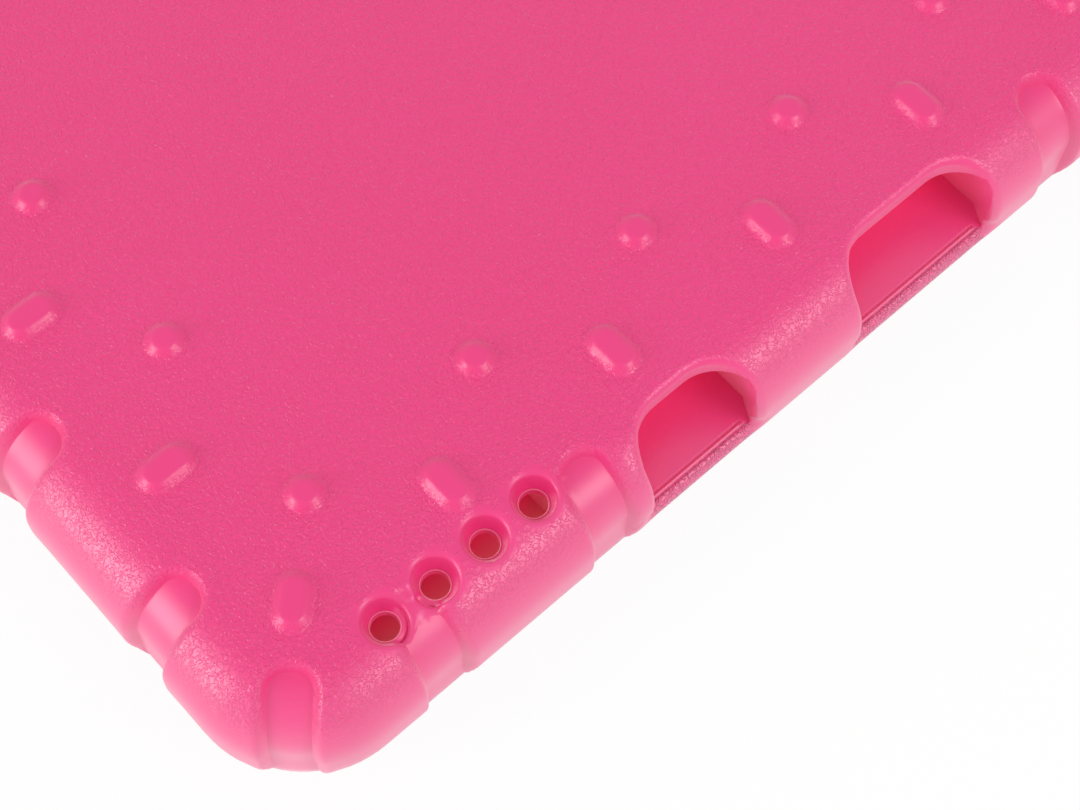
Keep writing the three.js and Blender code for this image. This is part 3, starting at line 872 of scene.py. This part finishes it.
def mouldedEvaFoam():
    material = bpy.data.materials.new("mouldedEvaFoam")
    material.use_nodes = True
    tree = material.node_tree
    tree.nodes.clear()
    place = addNode(tree, "ShaderNodeTexCoord").outputs["Object"]
    grain, flash, paintedInsideLight, paintedSheen = [addNode(tree, "ShaderNodeAttribute", attribute_name=name).outputs["Fac"]
                                  for name in ("grainShare", "flashHighlightShare", "paintedChannelLightShare", "paintedSheenShare")]
    cloud = addNode(tree, "ShaderNodeTexNoise", {"Scale": perWidth("cloud"), "Detail": 3.0}, {"Vector": place})
    colour = addNode(tree, "ShaderNodeMix", {6: linear(foamFinish["skinDeep"]), 7: linear(foamFinish["skin"])},
                     {0: cloud.outputs["Fac"]}, data_type="RGBA")
    paintedSheen = addNode(tree, "ShaderNodeMath", {1: foamFinish["paintedSheenShare"]}, {0: paintedSheen}, operation="MULTIPLY").outputs[0]
    # painted sheen, the painted highlight on the flash ring and painted light in the sound channels are mixed into the
    # colour
    for name, share in (("paintedSheenColour", paintedSheen), ("flash", flash), ("paintedInsideLight", paintedInsideLight)):
        colour = addNode(tree, "ShaderNodeMix", {7: linear(foamFinish[name])}, {0: share, 6: colour.outputs[2]},
                         data_type="RGBA")
    # short worm-like wrinkles that run into each other
    worm = addNode(tree, "ShaderNodeTexNoise",
                   {"Scale": perWidth("worm"), "Detail": 1.0, "Roughness": 0.4, "Distortion": 0.8},
                   {"Vector": place})
    worm = addNode(tree, "ShaderNodeMapRange",
                   {"From Min": 0.5 - foamFinish["wormEdge"], "From Max": 0.5 + foamFinish["wormEdge"]},
                   {"Value": worm.outputs["Fac"]}, interpolation_type="SMOOTHSTEP")
    fine = addNode(tree, "ShaderNodeTexNoise", {"Scale": perWidth("fine"), "Detail": 2.0}, {"Vector": place})
    wave = addNode(tree, "ShaderNodeTexNoise", {"Scale": perWidth("wave"), "Detail": 1.0}, {"Vector": place})
    low = addNode(tree, "ShaderNodeMath", {1: foamFinish["waveHeight"] * mm}, {0: wave.outputs["Fac"]},
                  operation="MULTIPLY")
    high = addNode(tree, "ShaderNodeMath", {1: foamFinish["wormHeight"] * mm}, {0: worm.outputs[0]},
                   operation="MULTIPLY")
    high = addNode(tree, "ShaderNodeMath", {1: foamFinish["fineHeight"] * mm},
                   {0: fine.outputs["Fac"], 2: high.outputs[0]}, operation="MULTIPLY_ADD")
    height = addNode(tree, "ShaderNodeMath", None, {0: high.outputs[0], 1: grain, 2: low.outputs[0]},
                     operation="MULTIPLY_ADD")
    bump = addNode(tree, "ShaderNodeBump", {"Strength": 1.0, "Distance": 1.0}, {"Height": height.outputs[0]})
    rough = addNode(tree, "ShaderNodeMapRange",
                    {"To Min": foamFinish["smoothRoughness"], "To Max": foamFinish["roughness"]}, {"Value": grain})
    surface = addNode(tree, "ShaderNodeBsdfPrincipled", {
        "IOR": foamFinish["ior"],
        "Specular IOR Level": foamFinish["specular"],
        "Sheen Weight": foamFinish["sheen"],
        "Sheen Tint": linear(foamFinish["sheenTint"]),
        "Sheen Roughness": foamFinish["sheenRoughness"],
    }, {"Base Color": colour.outputs[2], "Roughness": rough.outputs[0], "Normal": bump.outputs[0]})
    addNode(tree, "ShaderNodeOutputMaterial", None, {"Surface": surface.outputs[0]})
    return material


caseMesh.materials.clear()
caseMesh.materials.append(mouldedEvaFoam())
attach(tabletCase, "root")
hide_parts("case_shell")
print("case finished in moulded foam")


# a plain white table, its far edge out of sight, in a soft white room
studioForm = {
    "table": "#f4f4f4",
    "tableWhite": 0.93,  # share of plain white that the camera sees on the table, the rest keeps the shadow
    "tableSize": 3.0,  # m
    "sky": 0.755,
}
# A tall softbox stands at the long side and a square one, higher, at the short side. Under the case's window lies a
# sheet that glows faintly, so that light comes up through the pocket into the notches and holes.
lampForms = {
    "flankSoftbox": {"place": (-0.64, 0.1, 0.24), "aim": (-0.08, -0.09, 0.01), "size": (0.24, 0.46), "watts": 1.85},
    "endSoftbox": {"place": (0.16, -0.65, 0.44), "aim": (-0.03, -0.13, 0.01), "size": (0.3, 0.3), "watts": 1.4},
    "glowingSheet": {"place": (0, 0, 0.0008), "aim": (0, 0, 1), "size": (0.146, 0.236), "watts": 0.13},
}


def paintedTable():
    material = bpy.data.materials.new("whitePaintedTable")
    material.use_nodes = True
    tree = material.node_tree
    tree.nodes.clear()
    paint = addNode(tree, "ShaderNodeBsdfDiffuse", {"Color": linear(studioForm["table"])})
    plain = addNode(tree, "ShaderNodeEmission", {"Color": (1, 1, 1, 1), "Strength": 1.0})
    seen = addNode(tree, "ShaderNodeLightPath")
    either = addNode(tree, "ShaderNodeMath", None, {0: seen.outputs["Is Camera Ray"], 1: seen.outputs["Is Glossy Ray"]},
                     operation="MAXIMUM")
    share = addNode(tree, "ShaderNodeMath", {1: studioForm["tableWhite"]}, {0: either.outputs[0]}, operation="MULTIPLY")
    mixed = addNode(tree, "ShaderNodeMixShader", None, {0: share.outputs[0], 1: paint.outputs[0], 2: plain.outputs[0]})
    addNode(tree, "ShaderNodeOutputMaterial", None, {"Surface": mixed.outputs[0]})
    return material


side = studioForm["tableSize"] / 2
tableMesh = bpy.data.meshes.new("table")
tableMesh.from_pydata([(-side, -side, 0), (side, -side, 0), (side, side, 0), (-side, side, 0)], [], [(0, 1, 2, 3)])
table = bpy.data.objects.new("table", tableMesh)
tableMesh.materials.append(paintedTable())
bpy.context.scene.collection.objects.link(table)

world = bpy.data.worlds.new("softRoom")
bpy.context.scene.world = world
world.use_nodes = True
room = world.node_tree
room.nodes.clear()
sky = addNode(room, "ShaderNodeBackground", {"Color": (1, 1, 1, 1), "Strength": studioForm["sky"]})
white = addNode(room, "ShaderNodeBackground", {"Color": (1, 1, 1, 1), "Strength": 1.0})
seen = addNode(room, "ShaderNodeLightPath")
both = addNode(room, "ShaderNodeMixShader", None,
               {0: seen.outputs["Is Camera Ray"], 1: sky.outputs[0], 2: white.outputs[0]})
addNode(room, "ShaderNodeOutputWorld", None, {"Surface": both.outputs[0]})

for name, form in lampForms.items():
    light = bpy.data.lights.new(name, "AREA")
    light.shape, light.energy = "RECTANGLE", form["watts"]
    light.size, light.size_y = form["size"]
    lamp = bpy.data.objects.new(name, light)
    lamp.location = form["place"]
    lamp.rotation_euler = (Vector(form["aim"]) - Vector(form["place"])).to_track_quat("-Z", "Y").to_euler()
    lamp.visible_camera = False
    bpy.context.scene.collection.objects.link(lamp)

# the camera looks down on one corner, as in the photograph
lensForm = {"focal": 71.996, "sensor": 36.0, "nearest": 0.01, "farthest": 20}
lens = bpy.data.cameras.new("camera")
lens.lens, lens.sensor_width, lens.sensor_fit = lensForm["focal"], lensForm["sensor"], "HORIZONTAL"
lens.clip_start, lens.clip_end = lensForm["nearest"], lensForm["farthest"]
camera = bpy.data.objects.new("camera", lens)
camera.matrix_world = Matrix(((0.742928, 0.601179, -0.294349, -0.107894),
                              (-0.668961, 0.682227, -0.295056, -0.185253),
                              (0.023432, 0.416113, 0.909011, 0.216850),
                              (0, 0, 0, 1)))
bpy.context.scene.collection.objects.link(camera)
bpy.context.scene.camera = camera
bpy.context.scene.view_settings.view_transform = "Standard"
print("studio set")
